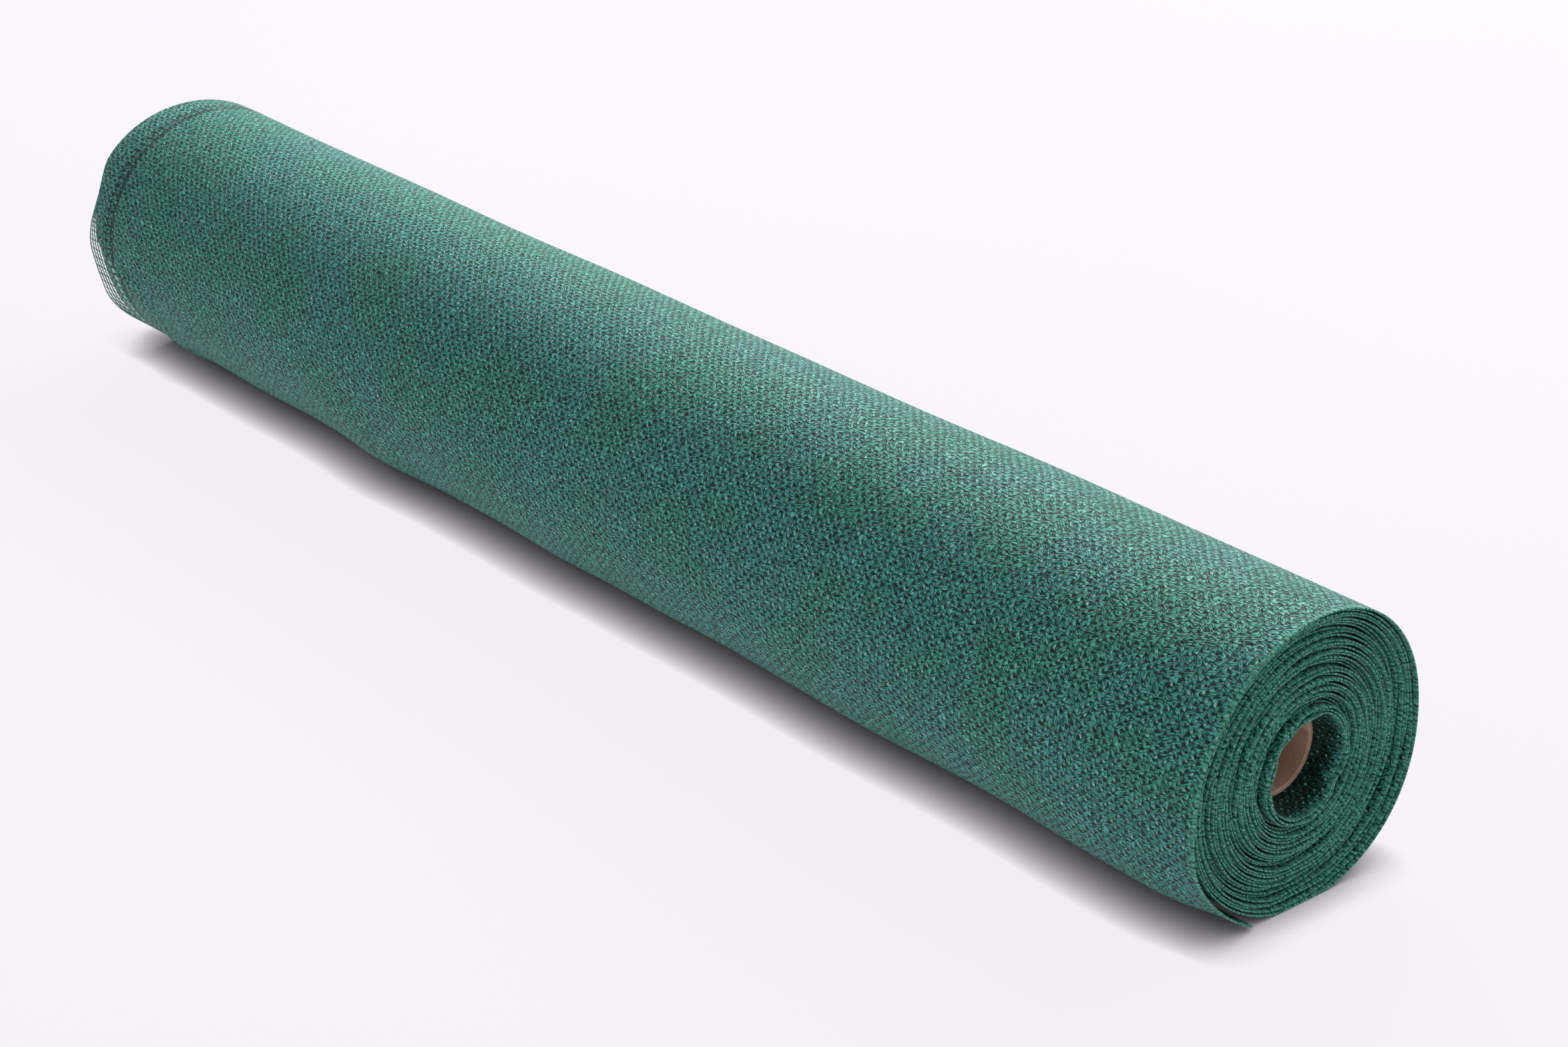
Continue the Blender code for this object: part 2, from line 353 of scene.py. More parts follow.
def selvage_line(back, ply):
    """X of the outer (1) or inner (2) ply's selvage at a place along the cloth."""
    turns = back / 360
    wander = 0.8 * MM * math.sin(2 * math.pi * 2.61 * turns + ply)
    wander += 0.5 * MM * math.sin(2 * math.pi * 6.43 * turns + 2 * ply)
    drawn_in = read_curve(SELVAGES, SEAM_ANGLE - min(back, 160), ply)
    if turns > 0.6:
        hollow = read_curve(HOLLOW, (SEAM_ANGLE - back) % 360, 1)
        drawn_in += hollow * (1 - soft_step(2, HOLLOW_TURNS, turns))
    return FAR_X + drawn_in + wander * soft_step(0.3, 0.8, turns)


def wound_length(back):
    """Length of cloth from the seam to a place wound back from it."""
    mean = ROLL_RADIUS - LAST_TURN_STEP * min(back, 360) / 720
    length = mean * math.radians(min(back, 360))
    if back > 360:
        outer = ROLL_RADIUS - LAST_TURN_STEP
        inner = outer - TURN_STEP * (back - 360) / 360
        length += (outer + inner) / 2 * math.radians(back - 360)
    return length


# The sheet of cloth

FOLD_PLACES = (1.0, 0.5, 0.0, -0.5, -1.0)
ACROSS = [place * MM for place in OUTER_PLACES]
ACROSS += [place * FOLD_ARC for place in FOLD_PLACES]
ACROSS += [-place * MM for place in INNER_PLACES]
FINE_COLUMNS = LOOSE_COLUMNS + TURN_COLUMNS
ALL_COLUMNS = FINE_COLUMNS + INNER_COLUMNS


def read_column(column):
    """Degrees wound back from the seam at a column of the grid."""
    if column < LOOSE_COLUMNS:
        return (SEAM_ANGLE - CUT_ANGLE) * (1 - column / LOOSE_COLUMNS)
    if column < FINE_COLUMNS:
        return 360 * (column - LOOSE_COLUMNS) / TURN_COLUMNS
    return 360 + (INNER_END - 360) * (column - FINE_COLUMNS) / INNER_COLUMNS


def read_across(row):
    """Distance from the fold at a row of the grid, negative on the inner ply."""
    index = min(int(row), len(ACROSS) - 2)
    return ACROSS[index] + (ACROSS[index + 1] - ACROSS[index]) * (row - index)


def place_on_sheet(back, across):
    """Point of the sheet, and how far from the fold it lies in the cloth."""
    fold = fold_line(back) - TAPE_THICKNESS / 2
    middle = TAPE_THICKNESS / 2 + FOLD_RADIUS
    if abs(across) <= FOLD_ARC:
        turned = across / FOLD_RADIUS
        x = fold - FOLD_RADIUS * (1 - math.cos(turned))
        return cloth_place(x, back, middle - FOLD_RADIUS * math.sin(turned)), across
    ply = 1 if across > 0 else 2
    share = (abs(across) - FOLD_ARC) / (FOLDED_WIDTH - FOLD_ARC)
    start = fold - FOLD_RADIUS
    x = start + (selvage_line(back, ply) - start) * share
    inward = middle - math.copysign(FOLD_RADIUS, across)
    loose = soft_step(SEAM_ANGLE + 3, SEAM_ANGLE + 12, SEAM_ANGLE - back)
    if ply == 1:
        from_edge = x - selvage_line(back, ply)
        inward -= CURLED_EDGE * loose * soft_step(CURLED_WIDTH, 0, from_edge)
        return cloth_place(x, back, inward), fold - x
    slipped = INNER_SLIP * loose * soft_step(0.8 * FOLDED_WIDTH, FOLDED_WIDTH, fold - x)
    return cloth_place(x, back, inward), x - fold - slipped


def divide_rows(sheet, span, low_column, high_column, spacing):
    """Divide one span of the grid between two of its columns, across the cloth."""
    length = abs(ACROSS[span + 1] - ACROSS[span])
    cuts = math.ceil(length / spacing) - 1
    if cuts < 1:
        return
    edges = []
    for edge in sheet.edges:
        start, end = sorted(vertex.co.y for vertex in edge.verts)
        column = edge.verts[0].co.x
        inside = low_column - 0.1 < column < high_column + 0.1
        if inside and abs(start - span) < 0.1 and abs(end - span - 1) < 0.1:
            edges.append(edge)
    bmesh.ops.subdivide_edges(sheet, edges=edges, cuts=cuts, use_grid_fill=True, use_single_edge=True)


def divide_columns(sheet, high_column):
    """Halve the columns of the grid up to one of them."""
    edges = []
    for edge in sheet.edges:
        start, end = sorted(vertex.co.x for vertex in edge.verts)
        if end - start > 0.5 and end < high_column + 0.1:
            edges.append(edge)
    bmesh.ops.subdivide_edges(sheet, edges=edges, cuts=1, use_grid_fill=True)


def finish_piece(mesh_data, name, material):
    """Turn a bmesh into a smooth object at the origin, with one material."""
    mesh = bpy.data.meshes.new(name)
    mesh_data.to_mesh(mesh)
    mesh_data.free()
    mesh.shade_smooth()
    mesh.materials.append(material)
    piece = bpy.data.objects.new(name, mesh)
    bpy.context.collection.objects.link(piece)
    return piece


def build_shade_cloth(material):
    """The whole cloth, folded and wound, as one thin sheet."""
    rows = len(ACROSS) - 1
    sheet = bmesh.new()
    bmesh.ops.create_grid(sheet, x_segments=ALL_COLUMNS, y_segments=rows, size=0.5)
    to_grid = (ALL_COLUMNS, rows, 1)
    for vertex in sheet.verts:
        vertex.co = [(vertex.co[axis] + 0.5) * to_grid[axis] for axis in range(3)]
        vertex.co.z = 0
    for span in range(rows):
        divide_rows(sheet, span, 0, FINE_COLUMNS, FINE_SPACING)
    first_inner = len(OUTER_PLACES) + len(FOLD_PLACES) - 1
    mouth_columns = ALL_COLUMNS - MOUTH_TURNS * TURN_COLUMNS
    for span in range(first_inner, first_inner + 3):
        divide_rows(sheet, span, mouth_columns, ALL_COLUMNS, MOUTH_SPACING)
    divide_columns(sheet, FINE_COLUMNS)
    across_layer = sheet.verts.layers.float.new("across")
    along_layer = sheet.verts.layers.float.new("along")
    for vertex in sheet.verts:
        back = read_column(vertex.co.x)
        point, from_fold = place_on_sheet(back, read_across(vertex.co.y))
        vertex.co = point
        vertex[across_layer] = from_fold
        vertex[along_layer] = wound_length(back)
    uv_layer = sheet.loops.layers.uv.new("UVMap")
    for face in sheet.faces:
        for loop in face.loops:
            loop[uv_layer].uv = (loop.vert[across_layer], loop.vert[along_layer])
    cloth = finish_piece(sheet, "shade_cloth", material)
    wall = cloth.modifiers.new("tape", "SOLIDIFY")
    wall.thickness = TAPE_THICKNESS
    wall.offset = 0
    return cloth


# The thin selvage threads of the inner ply, which hang out past the far end

THREAD_RADIUS = 0.35 * MM
CROSS_THREAD_RADIUS = 0.6 * THREAD_RADIUS
THREAD_SIDES = 6
CROSS_THREAD_SIDES = 4
STRANDS = 4
THREAD_START = 148
THREAD_STEP = 2.2
# Columns: angle, how far the inner ply's last thread hangs out past the far end
THREAD_REACH = (
    (148, -2.5 * MM),
    (160, -2.0 * MM),
    (170, 0.5 * MM),
    (180, 2.0 * MM),
    (190, 0.0 * MM),
    (200, 0.5 * MM),
    (210, 5.0 * MM),
    (222, 9.0 * MM),
    (246, 10.0 * MM),
)


def thread_place(angle, strand):
    """Point on one of the strands, evenly spread out to the last of them."""
    back = SEAM_ANGLE - angle
    start = selvage_line(back, 2)
    reach = FAR_X - read_curve(THREAD_REACH, angle, 1)
    x = start + (reach - start) * (strand + 1) / STRANDS
    inward = TAPE_THICKNESS / 2 + PLY_SPACING
    return cloth_place(x, back, inward)


def add_tube(mesh_data, points, radius, sides):
    """Bridge small rings round a line of points into a closed tube."""
    rings = []
    for index, point in enumerate(points):
        ahead = points[min(index + 1, len(points) - 1)] - points[max(index - 1, 0)]
        turn = ahead.to_track_quat("Z", "X").to_matrix().to_4x4()
        turn.translation = point
        ring = bmesh.ops.create_circle(
            mesh_data, segments=sides, radius=radius, cap_ends=index in (0, len(points) - 1),
            matrix=turn,
        )["verts"]
        rings.append({edge for corner in ring for edge in corner.link_edges})
    for ring, following in zip(rings, rings[1:]):
        bmesh.ops.bridge_loops(mesh_data, edges=list(ring | following))


def build_selvage_threads(material):
    """The open edge of the inner ply: four strands and the thread across them."""
    threads = bmesh.new()
    angles = []
    angle = THREAD_START
    while angle < CUT_ANGLE:
        angles.append(angle)
        angle += THREAD_STEP
    for strand in range(STRANDS):
        add_tube(
            threads, [thread_place(angle, strand) for angle in angles],
            THREAD_RADIUS, THREAD_SIDES,
        )
    for strand in range(STRANDS):
        points = []
        for index, angle in enumerate(angles):
            side = strand - 1 + index % 2
            points.append(thread_place(angle, side))
        add_tube(threads, points, CROSS_THREAD_RADIUS, CROSS_THREAD_SIDES)
    bmesh.ops.recalc_face_normals(threads, faces=threads.faces)
    return finish_piece(threads, "selvage_threads", material)


# The core

CORE_SIDES = 96
RIM_EASE = 0.5 * MM
SHARP_ANGLE = 50


def build_cardboard_core(material):
    """A spirally wound board tube, its near rim a little rounded and frayed."""
    near = CORE_HIGH.x
    far = CORE_LOW.x
    bore = CORE_RADIUS - CORE_WALL
    profile = (
        (far, CORE_RADIUS),
        (near - RIM_EASE, CORE_RADIUS),
        (near, CORE_RADIUS - RIM_EASE),
        (near, bore + RIM_EASE),
        (near - RIM_EASE, bore),
        (near - 40 * MM, bore),
        (far, bore),
    )
    tube = bmesh.new()
    corners = [tube.verts.new((x, CORE_CENTRE.y - radius, CORE_CENTRE.z)) for x, radius in profile]
    edges = []
    for index, corner in enumerate(corners):
        edges.append(tube.edges.new((corner, corners[(index + 1) % len(corners)])))
    bmesh.ops.spin(
        tube,
        geom=corners + edges,
        cent=CORE_CENTRE,
        axis=(1, 0, 0),
        angle=-2 * math.pi,
        steps=CORE_SIDES,
        use_merge=True,
    )
    bmesh.ops.recalc_face_normals(tube, faces=tube.faces)
    for corner in tube.verts:
        if corner.co.x > near - 0.1 * MM:
            turned = math.atan2(corner.co.z - CORE_CENTRE.z, corner.co.y - CORE_CENTRE.y)
            fray = 0.15 * math.sin(7 * turned) + 0.1 * math.sin(23 * turned + 1)
            corner.co.x += (fray - 0.25) * MM
    core = finish_piece(tube, "cardboard_core", material)
    core.data.set_sharp_from_angle(angle=math.radians(SHARP_ANGLE))
    return core


# Materials


def linear(hex_colour):
    """Turn an sRGB hex colour into linear light, with full alpha."""
    channels = []
    for index in (1, 3, 5):
        value = int(hex_colour[index:index + 2], 16) / 255
        channels.append(value / 12.92 if value <= 0.04045 else ((value + 0.055) / 1.055) ** 2.4)
    return (*channels, 1)


def add_node(tree, kind, links, **settings):
    """Add a node, give it its settings, and link or set its inputs."""
    node = tree.nodes.new(kind)
    for name, value in settings.items():
        setattr(node, name, value)
    for socket, source in links.items():
        if isinstance(source, bpy.types.NodeSocket):
            tree.links.new(source, node.inputs[socket])
        else:
            node.inputs[socket].default_value = source
    return node


def new_material(name):
    """An empty node material, its tree and its output's surface socket."""
    material = bpy.data.materials.new(name)
    material.use_nodes = True
    tree = material.node_tree
    tree.nodes.clear()
    output = tree.nodes.new("ShaderNodeOutputMaterial")
    return material, tree, output.inputs["Surface"]


# The knit: wales across the roll's length, courses along the cloth
WALE_PITCH = 5.17 * MM
COURSE_PITCH = 4.95 * MM
LAPS_PER_COURSE = 3.4
EYELET_FROM_EDGE = 18 * MM
GROOVE_FROM_EDGE = 24 * MM
EYELET_WIDTH = 1.9 * MM
EYELET_HEIGHT = 1.5 * MM
DRIFT_LENGTH = 22 * MM
JITTER_LENGTH = 4.2 * MM
SLANT_LENGTH = 9 * MM
PATCH_LENGTH = 55 * MM
DASH_LENGTH = 1.5 * MM


def add_knit_masks(tree, uv):
    """Masks of the knit, and each knot's number, from the cloth's own UV map."""
    drift = add_node(
        tree, "ShaderNodeTexNoise",
        {"Vector": uv, "Scale": 1 / DRIFT_LENGTH, "Detail": 3.0, "Roughness": 0.6},
    ).outputs["Color"]
    drift = add_node(
        tree, "ShaderNodeVectorMath", {0: drift, 1: (0.5, 0.5, 0.5)}, operation="SUBTRACT"
    ).outputs[0]
    place = add_node(
        tree, "ShaderNodeVectorMath", {0: drift, 1: (3.2 * MM, 4.0 * MM, 0), 2: uv},
        operation="MULTIPLY_ADD",
    ).outputs[0]
    jitter = add_node(
        tree, "ShaderNodeTexNoise", {"Vector": uv, "Scale": 1 / JITTER_LENGTH, "Detail": 1.0}
    ).outputs["Color"]
    jitter = add_node(
        tree, "ShaderNodeVectorMath", {0: jitter, 1: (0.5, 0.5, 0.5)}, operation="SUBTRACT"
    ).outputs[0]
    place = add_node(
        tree, "ShaderNodeVectorMath", {0: jitter, 1: (2.2 * MM, 3.0 * MM, 0), 2: place},
        operation="MULTIPLY_ADD",
    ).outputs[0]
    cells = add_node(
        tree, "ShaderNodeVectorMath", {0: place, 1: (-1 / WALE_PITCH, 1 / COURSE_PITCH, 0)},
        operation="MULTIPLY",
    ).outputs[0]
    split = add_node(tree, "ShaderNodeSeparateXYZ", {0: cells})
    courses = split.outputs["Y"]

    # Each wale line leans to and fro once a course
    lean = add_node(
        tree, "ShaderNodeMath", {0: courses, 1: 2 * math.pi}, operation="MULTIPLY"
    ).outputs[0]
    lean = add_node(tree, "ShaderNodeMath", {0: lean}, operation="SINE").outputs[0]
    wales = add_node(
        tree, "ShaderNodeMath", {0: lean, 1: 0.055, 2: split.outputs["X"]},
        operation="MULTIPLY_ADD",
    ).outputs[0]
    across = add_node(tree, "ShaderNodeMath", {0: wales}, operation="FRACT").outputs[0]
    aside = add_node(tree, "ShaderNodeMath", {0: across, 1: 0.5}, operation="SUBTRACT").outputs[0]
    aside = add_node(tree, "ShaderNodeMath", {0: aside}, operation="ABSOLUTE").outputs[0]
    wale_line = add_node(
        tree, "ShaderNodeMapRange",
        {"Value": aside, "From Min": 0.38, "From Max": 0.47, "To Min": 0.0, "To Max": 1.0},
        interpolation_type="SMOOTHSTEP",
    ).outputs[0]

    # The laps zigzag, so every second half wale lies half a course further on
    right = add_node(tree, "ShaderNodeMath", {0: across, 1: 0.5}, operation="MODULO").outputs[0]
    second = add_node(
        tree, "ShaderNodeMath", {0: across, 1: 0.5}, operation="GREATER_THAN"
    ).outputs[0]
    row = add_node(
        tree, "ShaderNodeMath", {0: second, 1: 0.5, 2: courses}, operation="MULTIPLY_ADD"
    ).outputs[0]
    above = add_node(tree, "ShaderNodeMath", {0: row}, operation="FRACT").outputs[0]
    above = add_node(tree, "ShaderNodeMath", {0: above, 1: 0.5}, operation="SUBTRACT").outputs[0]
    apart = add_node(tree, "ShaderNodeMath", {0: above}, operation="ABSOLUTE").outputs[0]

    # A pocket opens at the left of each half wale and narrows to a slit
    taper = add_node(tree, "ShaderNodeMath", {0: right, 1: 0.5}, operation="MULTIPLY").outputs[0]
    taper = add_node(tree, "ShaderNodeMath", {0: taper, 1: 0.18}, operation="MINIMUM").outputs[0]
    blunt = add_node(
        tree, "ShaderNodeMapRange",
        {"Value": right, "From Min": 0.0, "From Max": 0.07, "To Min": 0.16, "To Max": 0.0},
    ).outputs[0]
    spread = add_node(tree, "ShaderNodeMath", {0: taper, 1: apart}, operation="ADD").outputs[0]
    spread = add_node(tree, "ShaderNodeMath", {0: spread, 1: blunt}, operation="ADD").outputs[0]
    pocket_size = add_node(
        tree, "ShaderNodeTexNoise", {"Vector": cells, "Scale": 0.9, "Detail": 1.0}
    ).outputs["Fac"]
    spread = add_node(
        tree, "ShaderNodeMath", {0: pocket_size, 1: -0.36, 2: spread}, operation="MULTIPLY_ADD"
    ).outputs[0]
    pocket = add_node(
        tree, "ShaderNodeMapRange",
        {"Value": spread, "From Min": -0.01, "From Max": 0.1, "To Min": 1.0, "To Max": 0.0},
        interpolation_type="SMOOTHSTEP",
    ).outputs[0]

    # The knot is a small raised spot at the right end of each half wale, with a painted highlight,
    # brighter on some
    knot = add_node(tree, "ShaderNodeCombineXYZ", {"X": right, "Y": above}).outputs[0]
    knot = add_node(
        tree, "ShaderNodeVectorMath", {0: knot, 1: (-0.38, -0.28, 0)}, operation="ADD"
    ).outputs[0]
    knot = add_node(
        tree, "ShaderNodeVectorMath", {0: knot, 1: (6.5, 6.5, 0)}, operation="MULTIPLY"
    ).outputs[0]
    knot = add_node(
        tree, "ShaderNodeVectorMath", {0: knot}, operation="LENGTH"
    ).outputs["Value"]
    knot = add_node(
        tree, "ShaderNodeMapRange",
        {"Value": knot, "From Min": 0.4, "From Max": 1.0, "To Min": 1.0, "To Max": 0.0},
        interpolation_type="SMOOTHSTEP",
    ).outputs[0]

    # Three or four laps of tape a course, slanting either way, some slack
    slack = add_node(
        tree, "ShaderNodeTexNoise", {"Vector": cells, "Scale": 1.3, "Detail": 2.0}
    ).outputs["Fac"]
    slant = add_node(
        tree, "ShaderNodeTexNoise", {"Vector": uv, "Scale": 1 / SLANT_LENGTH, "Detail": 0.0}
    ).outputs["Fac"]
    slant = add_node(
        tree, "ShaderNodeMapRange",
        {"Value": slant, "From Min": 0.35, "From Max": 0.65, "To Min": -0.7, "To Max": 0.9},
    ).outputs[0]
    lap = add_node(
        tree, "ShaderNodeMath", {0: right, 1: slant, 2: courses}, operation="MULTIPLY_ADD"
    ).outputs[0]
    lap = add_node(
        tree, "ShaderNodeMath", {0: slack, 1: 0.55, 2: lap}, operation="MULTIPLY_ADD"
    ).outputs[0]
    streaks = add_node(tree, "ShaderNodeCombineXYZ", {"X": wales, "Y": lap}).outputs[0]
    streaks = add_node(
        tree, "ShaderNodeVectorMath", {0: streaks, 1: (1.3, 3.6, 0)}, operation="MULTIPLY"
    ).outputs[0]
    streaks = add_node(
        tree, "ShaderNodeTexNoise",
        {"Vector": streaks, "Scale": 1.0, "Detail": 2.0, "Roughness": 0.6},
    ).outputs["Fac"]
    lap = add_node(
        tree, "ShaderNodeMath", {0: lap, 1: 2 * math.pi * LAPS_PER_COURSE}, operation="MULTIPLY"
    ).outputs[0]
    lap = add_node(tree, "ShaderNodeMath", {0: lap}, operation="SINE").outputs[0]
    lap = add_node(
        tree, "ShaderNodeMath", {0: lap, 1: 0.14, 2: streaks}, operation="MULTIPLY_ADD"
    ).outputs[0]
    lap = add_node(
        tree, "ShaderNodeMapRange",
        {"Value": lap, "From Min": 0.34, "From Max": 0.68, "To Min": 0.0, "To Max": 1.0},
    ).outputs[0]
    knot_id = add_node(
        tree, "ShaderNodeMath", {0: wales, 1: 2.0}, operation="MULTIPLY"
    ).outputs[0]
    knot_id = add_node(tree, "ShaderNodeCombineXYZ", {"X": knot_id, "Y": row}).outputs[0]
    knot_id = add_node(tree, "ShaderNodeVectorMath", {0: knot_id}, operation="FLOOR").outputs[0]
    return courses, knot_id, wale_line, pocket, knot, lap


def add_edge_masks(tree, from_fold, courses):
    """Masks of the fold's plain strip, and of the selvage's eyelets and groove."""
    fold = add_node(
        tree, "ShaderNodeMapRange",
        {"Value": from_fold, "From Min": 0.9 * MM, "From Max": 2.4 * MM, "To Min": 1.0, "To Max": 0.0},
        interpolation_type="SMOOTHSTEP",
    ).outputs[0]
    row = add_node(
        tree, "ShaderNodeMath", {0: from_fold, 1: FOLDED_WIDTH - EYELET_FROM_EDGE},
        operation="SUBTRACT",
    ).outputs[0]
    row = add_node(tree, "ShaderNodeMath", {0: row, 1: EYELET_WIDTH}, operation="DIVIDE").outputs[0]
    step = add_node(tree, "ShaderNodeMath", {0: courses}, operation="FRACT").outputs[0]
    step = add_node(tree, "ShaderNodeMath", {0: step, 1: 0.5}, operation="SUBTRACT").outputs[0]
    step = add_node(
        tree, "ShaderNodeMath", {0: step, 1: COURSE_PITCH / EYELET_HEIGHT}, operation="MULTIPLY"
    ).outputs[0]
    eyelet = add_node(tree, "ShaderNodeCombineXYZ", {"X": row, "Y": step}).outputs[0]
    eyelet = add_node(
        tree, "ShaderNodeVectorMath", {0: eyelet}, operation="LENGTH"
    ).outputs["Value"]
    eyelet = add_node(
        tree, "ShaderNodeMapRange",
        {"Value": eyelet, "From Min": 0.6, "From Max": 1.25, "To Min": 1.0, "To Max": 0.0},
        interpolation_type="SMOOTHSTEP",
    ).outputs[0]
    groove = add_node(
        tree, "ShaderNodeMath", {0: from_fold, 1: FOLDED_WIDTH - GROOVE_FROM_EDGE},
        operation="SUBTRACT",
    ).outputs[0]
    groove = add_node(tree, "ShaderNodeMath", {0: groove}, operation="ABSOLUTE").outputs[0]
    groove = add_node(
        tree, "ShaderNodeMapRange",
        {"Value": groove, "From Min": 0.8 * MM, "From Max": 2.4 * MM, "To Min": 0.85, "To Max": 0.0},
        interpolation_type="SMOOTHSTEP",
    ).outputs[0]
    return fold, eyelet, groove


def make_knitted_tape():
    """Knitted polyethylene tape: dull satin, with pockets beside each wale, painted dark as shade.

    The flat tape is painted pale along its laps and dark between them, as light and shade; the loops
    that hold it make small knots, some with a painted highlight; and the pockets between them are
    painted near black, as the shade beneath.
    """
    material, tree, surface = new_material("knitted_polyethylene_tape")
    uv = add_node(tree, "ShaderNodeUVMap", {}, uv_map="UVMap").outputs["UV"]
    courses, knot_id, wale_line, pocket, knot, lap = add_knit_masks(tree, uv)
    across = add_node(tree, "ShaderNodeSeparateXYZ", {0: uv}).outputs["X"]
    from_fold = add_node(tree, "ShaderNodeMath", {0: across}, operation="ABSOLUTE").outputs[0]
    fold, eyelet, groove = add_edge_masks(tree, from_fold, courses)
    knitted = add_node(tree, "ShaderNodeMath", {0: 1.0, 1: fold}, operation="SUBTRACT").outputs[0]
    pocket = add_node(
        tree, "ShaderNodeMath", {0: pocket, 1: knitted}, operation="MULTIPLY"
    ).outputs[0]
    wale_line = add_node(
        tree, "ShaderNodeMath", {0: wale_line, 1: knitted}, operation="MULTIPLY"
    ).outputs[0]

    # Patches a hand wide are greener or greyer, as the tape lies open or twisted
    patch = add_node(
        tree, "ShaderNodeTexNoise", {"Vector": uv, "Scale": 1 / PATCH_LENGTH, "Detail": 2.0}
    ).outputs["Fac"]
    patch = add_node(
        tree, "ShaderNodeMapRange",
        {"Value": patch, "From Min": 0.38, "From Max": 0.62, "To Min": 0.0, "To Max": 1.0},
    ).outputs[0]
    # Painted light and shade: the tape is painted pale along its laps and dark between them
    shade = add_node(
        tree, "ShaderNodeMix", {0: patch, 6: linear("#0f4536"), 7: linear("#12463e")},
        data_type="RGBA",
    ).outputs[2]
    light = add_node(
        tree, "ShaderNodeMix", {0: patch, 6: linear("#48a68c"), 7: linear("#50a699")},
        data_type="RGBA",
    ).outputs[2]
    colour = add_node(
        tree, "ShaderNodeMix", {0: lap, 6: shade, 7: light}, data_type="RGBA"
    ).outputs[2]

    # Along the fold the tape doubles back in short pale dashes
    dashes = add_node(
        tree, "ShaderNodeVectorMath", {0: uv, 1: (120, 1 / DASH_LENGTH, 0)}, operation="MULTIPLY"
    ).outputs[0]
    dashes = add_node(
        tree, "ShaderNodeTexNoise", {"Vector": dashes, "Scale": 1.0, "Detail": 1.0}
    ).outputs["Fac"]
    dashes = add_node(
        tree, "ShaderNodeMapRange",
        {"Value": dashes, "From Min": 0.36, "From Max": 0.64, "To Min": 0.0, "To Max": 1.0},
    ).outputs[0]
    doubled = add_node(
        tree, "ShaderNodeMix", {0: dashes, 6: linear("#114738"), 7: linear("#5fae96")},
        data_type="RGBA",
    ).outputs[2]
    colour = add_node(
        tree, "ShaderNodeMix", {0: fold, 6: colour, 7: doubled}, data_type="RGBA"
    ).outputs[2]
    line_share = add_node(
        tree, "ShaderNodeMath", {0: wale_line, 1: 0.6}, operation="MULTIPLY"
    ).outputs[0]
    colour = add_node(
        tree, "ShaderNodeMix", {0: line_share, 6: colour, 7: linear("#0a2f27")}, data_type="RGBA"
    ).outputs[2]
    # Painted shade: the pockets are painted near black, as the dark in the gaps of the knit
    pocket_painted_shade = add_node(
        tree, "ShaderNodeMath", {0: pocket, 1: 0.92}, operation="MULTIPLY"
    ).outputs[0]
    colour = add_node(
        tree, "ShaderNodeMix", {0: pocket_painted_shade, 6: colour, 7: linear("#031611")},
        data_type="RGBA",
    ).outputs[2]

    # The groove and eyelets are painted dark, as shade in them, but on the inner ply the eyelets are
    # painted pale, as light showing through
    inner_ply = add_node(
        tree, "ShaderNodeMath", {0: across, 1: 0.0}, operation="LESS_THAN"
    ).outputs[0]
    hole = add_node(
        tree, "ShaderNodeMix",
        {0: inner_ply, 6: linear("#08241d"), 7: linear("#a9cfbf")}, data_type="RGBA",
    ).outputs[2]
    colour = add_node(
        tree, "ShaderNodeMix", {0: eyelet, 6: colour, 7: hole}, data_type="RGBA"
    ).outputs[2]
    colour = add_node(
        tree, "ShaderNodeMix", {0: groove, 6: colour, 7: linear("#08241d")}, data_type="RGBA"
    ).outputs[2]

    # Painted shade: inside the hole the first turn, behind the rim, is painted near black, as the dark
    # behind the sheer cloth shows through
    along = add_node(tree, "ShaderNodeSeparateXYZ", {0: uv}).outputs["Y"]
    first_turn = add_node(
        tree, "ShaderNodeMapRange",
        {
            "Value": along, "From Min": wound_length(INNER_END - 520),
            "From Max": wound_length(INNER_END - 400), "To Min": 0.0, "To Max": 1.0,
        },
    ).outputs[0]
    behind_rim = add_node(
        tree, "ShaderNodeMapRange",
        {"Value": from_fold, "From Min": 2.5 * MM, "From Max": 7 * MM, "To Min": 0.0, "To Max": 0.8},
    ).outputs[0]
    painted_hole_shade = add_node(
        tree, "ShaderNodeMath", {0: first_turn, 1: behind_rim}, operation="MULTIPLY"
    ).outputs[0]
    colour = add_node(
        tree, "ShaderNodeMix", {0: painted_hole_shade, 6: colour, 7: linear("#020d0a")}, data_type="RGBA"
    ).outputs[2]

    # Painted highlights: some knots turn a flat of tape to the light, and get a brighter painted glint
    chance = add_node(
        tree, "ShaderNodeTexWhiteNoise", {"Vector": knot_id}
    ).outputs["Value"]
    bright = add_node(
        tree, "ShaderNodeMapRange",
        {"Value": chance, "From Min": 0.25, "From Max": 1.0, "To Min": 0.1, "To Max": 1.0},
    ).outputs[0]
    painted_glint = add_node(tree, "ShaderNodeMath", {0: knot, 1: bright}, operation="MULTIPLY").outputs[0]
    colour = add_node(
        tree, "ShaderNodeMix", {0: painted_glint, 6: colour, 7: linear("#8fcab6")}, data_type="RGBA"
    ).outputs[2]

